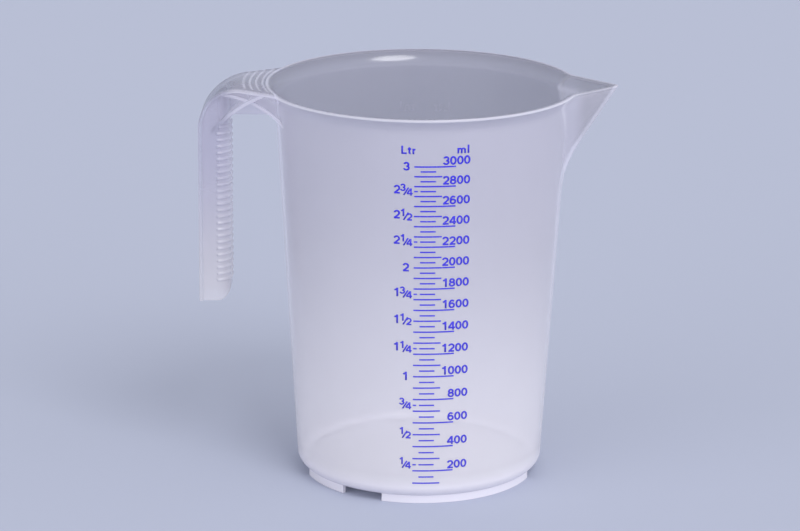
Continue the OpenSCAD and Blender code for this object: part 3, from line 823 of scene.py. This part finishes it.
def milky_plastic(colour, haze):
    """Unpigmented plastic: it lets the backdrop through, veiled by a milky haze under a gloss
    that the mould left uneven. The haze grows as painted light towards the base and on the
    foot, the lip, the ribs of the grip and the raised marks, partly also for their thicker
    plastic. The hollow of the vessel is painted dark as its shade, because little light gets
    there, most in its flare, and light near its base, and the grip and the spout are painted
    darker as shade."""
    n = Nodes(bpy.data.materials.new("milky_plastic"))
    x, _, z = n.axes()
    depth = n.add("ShaderNodeAttribute", {"attribute_name": "depth"}, None, "Fac")
    # Masks of the painted shade: inside for the hollow's dark skin, flare for more painted shade,
    # raised for painted light and thicker plastic
    inside, flare, raised = depth.ramp(0, 1), depth.ramp(1, 2), depth.ramp(0, -1)
    low, foot = z.ramp(*BASE_FADE), z.ramp(*FOOT_FADE)
    back = 0 - x
    # Painted shade on the grip of the handle, with less of it towards its lower end
    grip = n.mix(back.ramp(*GRIP_FADE), shade(colour, STRAP_TONE), shade(colour, GRIP_SHADE))
    grip = n.mix(z.ramp(*GRIP_LOW_FADE), grip, shade(colour, GRIP_LOW_SHADE))
    outer = n.mix(low, shade(colour, WALL_HIGH), shade(colour, WALL_LOW))
    outer = n.mix(back.ramp(*HANDLE_FADE), outer, grip)
    # Painted shade: the spout is painted darker
    outer = n.mix(x.ramp(*SPOUT_FADE), outer, shade(colour, SPOUT_SHADE))
    # The foot and the raised places get a lighter tone, partly for thicker plastic and partly as
    # painted light
    outer = n.mix((foot + raised).math("MINIMUM", 1), outer, shade(colour, THICK_AND_LIT_TONE))
    # Painted shade in the hollow: its inner skin is painted near black and blue high up, turning to
    # painted light near the base
    inner = n.mix(low * low, shade(colour, HOLLOW_SHADE_HIGH), shade(colour, HOLLOW_LIGHT_LOW))
    # Painted light: the outer haze grows towards the base and on the foot, which makes them lighter
    outer_haze = haze + OUTER_HAZE + BASE_LIGHT_HAZE * low * low + FOOT_LIGHT_HAZE * foot
    # More haze on the raised places, partly for thicker plastic and partly as painted light
    outer_haze = outer_haze + RAISED_AND_LIT_HAZE * raised
    # More haze of that painted colour inside, and more still on the flare, as painted shade; less
    # of it near the base
    inner_haze = haze + HOLLOW_SHADE_HAZE + FLARE_SHADE_HAZE * flare + HOLLOW_BASE_HAZE * low * low
    uneven = UNEVEN_HAZE * (n.noise(14.0, 2.0) - 0.5)
    alpha = outer_haze + inside * (inner_haze - outer_haze) + uneven
    grain = n.noise(900.0, 2.0) * 0.15 + n.noise(60.0, 2.0) * 0.85
    bump = n.add("ShaderNodeBump", None, {"Strength": 0.04, "Distance": 0.002, "Height": grain})
    rough = 0.1 + 0.1 * n.noise(30.0, 4.0)
    veil = n.add("ShaderNodeBsdfPrincipled", None, {
        "Base Color": n.mix(inside, outer, inner), "Roughness": 0.5, "Specular IOR Level": 0.0,
        "Alpha": alpha, "Normal": bump})
    gloss = n.add("ShaderNodeBsdfPrincipled", None, {
        "Base Color": (1, 1, 1, 1), "Metallic": 1.0, "Roughness": rough, "Normal": bump})
    facing = n.add("ShaderNodeLayerWeight", None, {"Blend": 0.5}, "Facing")
    share = 0.045 + 0.5 * facing.math("POWER", 4.5)
    return n.finish(n.add("ShaderNodeMixShader", None, {0: share, 1: veil, 2: gloss}))


def blue_ink(colour):
    """Printed ink: a blue that is a little thin in places and thinner towards the base, with
    a soft sheen."""
    n = Nodes(bpy.data.materials.new("blue_ink"))
    _, _, z = n.axes()
    low = z.ramp(*INK_FADE)
    thin = n.noise(900.0, 3.0).ramp(0.55, 0.8)
    pale = (*[0.5 + 0.5 * c for c in colour], 1)
    body = n.mix(0.25 * thin + 0.05 * low, (*colour, 1), pale)
    shader = n.add("ShaderNodeBsdfPrincipled", None, {
        "Base Color": body, "Roughness": 0.45 + 0.1 * thin, "IOR": 1.45,
        "Alpha": 0.96 - 0.15 * thin - 0.1 * low})
    return n.finish(shader)


class JugSettings(bpy.types.PropertyGroup):
    """Colours of the jug and of the backdrop"""
    plastic: bpy.props.FloatVectorProperty(
        name="Plastic", description="Colour of the milky plastic", subtype="COLOR",
        size=3, min=0, max=1, default=(0.9, 0.875, 1.0))
    haze: bpy.props.FloatProperty(
        name="Haze", description="Share of light that the thin wall holds back", min=0.05, max=1,
        subtype="FACTOR", default=0.3)
    ink: bpy.props.FloatVectorProperty(
        name="Ink", description="Colour of the printed scale", subtype="COLOR",
        size=3, min=0, max=1, default=(0.035, 0.025, 0.62))
    backdrop: bpy.props.FloatVectorProperty(
        name="Backdrop", description="Colour of the floor and the backdrop", subtype="COLOR",
        size=3, min=0, max=1, default=(0.485, 0.515, 0.637))


class JUG_OT_moulding(bpy.types.Operator):
    """Makes the vessel, its spout, foot ring and handle as one moulding"""
    bl_idname = "jug.moulding"
    bl_label = "Moulding"

    def execute(self, context):
        settings = context.scene.jug
        body = vessel()
        feet = [foot(start, end) for start, end in FOOT_STRETCHES]
        words = [(word, at, RAISED_WORDS_Z, RAISED_WORD_H, False) for word, at in RAISED_WORDS]
        headings = lettering("headings", words, math.pi / 2, -WALL_T / 2, RAISED_WORD_OUT)
        raised = [raised_lines(), headings]
        # The raised marks are painted lighter and hazier, partly for their thicker plastic and
        # partly as painted light
        for marks in raised:
            set_depth(marks, np.full(len(marks.data.vertices), RAISED_THICK_AND_LIT))
        fuse(body, feet + [strap(), grip(), web(), rising_rib(), falling_rib()] + raised)
        smooth_by_angle(body, 32)
        body.data.materials.clear()
        body.data.materials.append(milky_plastic(settings.plastic, settings.haze))
        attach(body, "root")
        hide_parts("floor", "heel", "foot_front_long", "foot_front_short", "foot_back_long",
                    "foot_back_short", "wall", "rim", "spout", "handle_strap", "handle_grip",
                    "grip_ribs", "bridge_web", "rising_rib", "falling_rib", "thumb_ridges",
                    "raised_scale")
        return {"FINISHED"}


def fill_z(millilitres):
    """Height of a filling: the cube of the bore at its level grows evenly with its volume."""
    slope, start = math.tan(TAPER), bore_r(FLOOR_Z)
    cube = start ** 3 + 3 * slope * millilitres * 1e-6 / math.pi
    return FLOOR_Z + (cube ** (1 / 3) - start) / slope


def bow(x, y, rx, ry, start, end):
    """Points on an ellipse, from one angle to the other."""
    turn = np.radians(np.linspace(start, end, max(6, int(abs(end - start) / 9))))
    return np.stack([x + rx * np.cos(turn), y + ry * np.sin(turn)], -1)


def glyph_strokes():
    """Middle lines of the strokes of each figure and letter, one unit high."""
    low, high, right = STROKE / 2, 1 - STROKE / 2, 0.585
    mid, width = (STROKE / 2 + right) / 2, (right - STROKE / 2) / 2
    stem = [(low, 0), (low, 1)]
    arch = bow(low + 0.19, 0.40, 0.19, 0.19, 180, 0)
    legs = [np.concatenate([arch + (0.38 * i, 0), [(low + 0.38 * (i + 1), 0)]]) for i in range(2)]
    ring = bow(mid, 0.5, width, high - 0.5, 0, 360)
    return {
        "0": [ring],
        "1": [[(0.43, 0), (0.43, 1)], [(0.13, 0.74), (0.27, 0.77), (0.36, 0.84), (0.41, 0.97)]],
        "2": [np.concatenate([bow(mid, high - 0.25, width, 0.25, 168, -36), [(0.12, 0.11)]]),
              [(0.04, low), (right + 0.06, low)]],
        "3": [bow(mid, high - 0.21, width - 0.03, 0.21, 165, -90),
              bow(mid, low + 0.21, width, 0.21, 90, -168)],
        "4": [[(0.5, 0), (0.5, 0.97)], [(0.47, 0.93), (0.05, 0.3)], [(0.0, 0.27), (0.7, 0.27)]],
        "6": [bow(mid, low + 0.24, width, 0.24, 0, 360),
              bow(mid + 0.02, 0.46, width + 0.02, high - 0.46, 184, 45)],
        "8": [bow(mid, high - 0.2, width - 0.04, 0.2, 0, 360),
              bow(mid, low + 0.22, width, 0.22, 0, 360)],
        "/": [[(0, 0), (0.56, 1)]],
        "L": [stem, [(0, low), (right, low)]],
        "l": [stem],
        "m": [[(low, 0), (low, 0.68)]] + legs,
        "r": [[(low, 0), (low, 0.66)], bow(low + 0.22, 0.36, 0.22, 0.2, 180, 85)],
        "t": [np.concatenate([[(0.17, 0.82)], bow(0.3, 0.2, 0.13, 0.115, 180, 275)]),
              [(0, 0.6), (0.36, 0.6)]],
    }


GLYPHS = {}
ADVANCE = {"L": 0.7, "t": 0.5, "r": 0.45, "m": 1.14, "l": 0.18}


def glyph(letter):
    """Triangles of one glyph: each stroke is a flat band round its middle line, and the
    bands are united. The third coordinate is 0 below and 1 above."""
    if letter in GLYPHS:
        return GLYPHS[letter]
    bands = []
    for line in glyph_strokes()[letter]:
        line = np.asarray(line, float)
        closed = np.allclose(line[0], line[-1])
        line = line[:-1] if closed else line
        ahead = np.roll(line, -1, 0) - line if closed else np.diff(line, axis=0, append=line[-1:])
        if not closed:
            ahead[-1] = ahead[-2]
        behind = np.roll(ahead, 1, 0)
        if not closed:
            behind[0] = ahead[0]
        ahead /= np.linalg.norm(ahead, axis=1)[:, None]
        behind /= np.linalg.norm(behind, axis=1)[:, None]
        way = (ahead + behind) / (1 + (ahead * behind).sum(1))[:, None]
        side = np.stack([-way[:, 1], way[:, 0]], -1) * STROKE / 2
        rows = []
        for offset, level in ((-1, 0), (1, 0), (1, 1), (-1, 1)):
            rows.append(np.column_stack([line + offset * side, np.full(len(line), float(level))]))
        points = np.stack(rows, 1)
        if closed:
            bands.append(ring_solid("band", points))
        else:
            bands.append(link("band", points.reshape(-1, 3), bar_faces(len(line))))
    base = fuse(bands[0], bands[1:])
    GLYPHS[letter] = points_of(base), triangles_of(base)
    bpy.data.objects.remove(base)
    return GLYPHS[letter]


def on_wall(turn, along, up, out):
    """A place on the wall: its distance along the wall from the angle, height and lift."""
    angle = turn + along / wall_r(up)
    r = wall_r(up) + out
    return np.stack([r * np.cos(angle), r * np.sin(angle), up], -1)


def lettering(name, texts, turn, low, high):
    """One object of many words. Each word has its left or right end, its lower end and its
    height, and reaches from low to high over the wall."""
    verts, tris, count = [], [], 0
    for words, left, z, tall, from_right in texts:
        wide = tall * FIGURE_WIDE
        steps = [ADVANCE.get(letter, FIGURE_STEP) * wide for letter in words]
        starts = left + np.concatenate([[0], np.cumsum(steps)])
        if from_right:
            starts -= starts[-1] - left - (FIGURE_STEP - FIGURE_W) * wide
        for letter, start in zip(words, starts):
            flat, faces = glyph(letter)
            verts.append(on_wall(turn, start + flat[:, 0] * wide, z + flat[:, 1] * tall,
                                 low + flat[:, 2] * (high - low)))
            tris.append(faces + count)
            count += len(flat)
    return link(name, np.concatenate(verts), [np.concatenate(tris)])


def raised_lines():
    """The raised scale at the back: bars that are rooted in the wall, one for each tenth of
    a litre, and longer at each half litre."""
    verts, faces, cuts = [], [], 12
    for volume in range(100, RAISED_TOP_ML + 1, 100):
        half = RAISED_LONG if volume % 500 == 0 else RAISED_SHORT
        steps = np.linspace(-half, half, cuts)
        along, up, out = np.meshgrid(steps, [-0.5, 0.5], [-0.5, 1], indexing="ij")
        bar = on_wall(RAISED_TURN, along, fill_z(volume) + up * RAISED_H, out * RAISED_OUT)
        faces += [corners + 4 * cuts * len(verts) for corners in bar_faces(cuts)]
        verts.append(bar.reshape(cuts, 4, 3)[:, [0, 1, 3, 2]].reshape(-1, 3))
    return link("raised_lines", np.concatenate(verts), [np.concatenate(faces)])


class JUG_OT_print(bpy.types.Operator):
    """Prints the figures of the scale and inks its lines"""
    bl_idname = "jug.print"
    bl_label = "Print"

    def execute(self, context):
        settings = context.scene.jug
        ink = blue_ink(settings.ink)
        left, middle = SCALE_SHIFT - LINE_LEFT, -math.pi / 2
        texts = [(str(v), SCALE_SHIFT + FIGURES_RIGHT, fill_z(v) + FIGURE_LIFT, FIGURE_H, True)
                 for v in range(200, TOP_ML + 1, 200)]
        for quarter in range(1, TOP_ML // 250 + 1):
            z = fill_z(quarter * 250)
            parts = {1: "14", 2: "12", 3: "34"}.get(quarter % 4)
            marks = [(str(quarter // 4), WHOLE_AT, FIGURE_H, True)]
            if parts:
                marks = [(parts[0], NUMERATOR_AT, SMALL_H, False), ("/", SLASH_AT, SMALL_H, False),
                         (parts[1], DENOMINATOR_AT, SMALL_H, False)]
                if quarter > 4:
                    marks.append((str(quarter // 4), WHOLE_BEFORE, FIGURE_H, False))
            texts += [(word, left + at[0], z + at[1], tall, side) for word, at, tall, side in marks]
        texts += [(word, left + at, WORDS_Z, WORDS_H, False) for word, at in WORDS]
        figures = lettering("printed_figures", texts, middle, INK_LOW, INK_HIGH)
        figures.data.materials.append(ink)
        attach(figures, "root")
        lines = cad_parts["printed_scale"]
        lines.data.materials.clear()
        lines.data.materials.append(ink)
        return {"FINISHED"}


class JUG_OT_stage(bpy.types.Operator):
    """Sets the floor, the backdrop, the lamps and the camera"""
    bl_idname = "jug.stage"
    bl_label = "Stage"

    def execute(self, context):
        scene = context.scene
        colour = (*scene.jug.backdrop, 1)
        corners = np.array([[-1, -1, 0], [1, -1, 0], [1, 1, 0], [-1, 1, 0]]) * FLOOR_HALF
        floor = link("floor_plane", corners, [np.array([[0, 1, 2, 3]])])
        n = Nodes(bpy.data.materials.new("floor_paper"))
        paper = n.add("ShaderNodeBsdfDiffuse", None, {"Color": shade(colour, FLOOR_TONE)})
        floor.data.materials.append(n.finish(paper))
        n = Nodes(bpy.data.worlds.new("world"))
        camera_ray, glossy, through = (n.add("ShaderNodeLightPath", output=f"Is {kind} Ray")
                                       for kind in ("Camera", "Glossy", "Transmission"))
        seen = camera_ray.math("MAXIMUM", glossy).math("MAXIMUM", through)
        sky = n.add("ShaderNodeBackground", None, {"Color": SKY, "Strength": SKY_STRENGTH})
        backdrop = n.add("ShaderNodeBackground", None, {"Color": colour})
        both = n.add("ShaderNodeMixShader", None, {0: seen, 1: sky, 2: backdrop})
        scene.world = n.finish(both, "World")
        for name, turn, climb, spread, strength in SUNS:
            lamp = bpy.data.lights.new(name, "SUN")
            lamp.energy, lamp.angle = strength, math.radians(spread)
            holder = bpy.data.objects.new(name, lamp)
            turn, climb = math.radians(turn), math.radians(climb)
            level = math.cos(climb)
            place = Vector((math.sin(turn) * level, -math.cos(turn) * level, math.sin(climb)))
            holder.location = place
            holder.visible_glossy = name == SUNS[0][0]
            holder.rotation_euler = place.to_track_quat("Z", "Y").to_euler()
            scene.collection.objects.link(holder)
        camera_data = bpy.data.cameras.new("camera")
        camera = bpy.data.objects.new("camera", camera_data)
        scene.collection.objects.link(camera)
        camera_data.sensor_width = SENSOR
        camera_data.lens = SENSOR * FOCAL_PX / PHOTO_PX
        camera_data.clip_end = 30.0
        turn = Matrix.Rotation(CAMERA_YAW, 3, "Z")
        camera.location = turn @ CAMERA_PLACE
        tilt = Matrix.Rotation(math.pi / 2 - CAMERA_PITCH, 3, "X")
        camera.rotation_euler = (turn @ tilt @ Matrix.Rotation(CAMERA_ROLL, 3, "Z")).to_euler()
        scene.camera = camera
        scene.view_settings.view_transform = "Standard"
        return {"FINISHED"}


class JUG_PT_panel(bpy.types.Panel):
    """Lists the steps that make the jug"""
    bl_idname = "JUG_PT_panel"
    bl_label = "Measuring jug"
    bl_space_type = "VIEW_3D"
    bl_region_type = "UI"
    bl_category = "Jug"

    def draw(self, context):
        for name in JugSettings.__annotations__:
            self.layout.prop(context.scene.jug, name)
        for operator in OPERATORS:
            self.layout.operator(operator.bl_idname)


OPERATORS = (JUG_OT_moulding, JUG_OT_print, JUG_OT_stage)
CLASSES = (JugSettings, *OPERATORS, JUG_PT_panel)


def register():
    for cls in CLASSES:
        bpy.utils.register_class(cls)
    bpy.types.Scene.jug = bpy.props.PointerProperty(type=JugSettings)


def unregister():
    del bpy.types.Scene.jug
    for cls in reversed(CLASSES):
        bpy.utils.unregister_class(cls)


def main():
    register()
    bpy.ops.jug.moulding()
    bpy.ops.jug.print()
    bpy.ops.jug.stage()


if __name__ == "__main__":
    main()
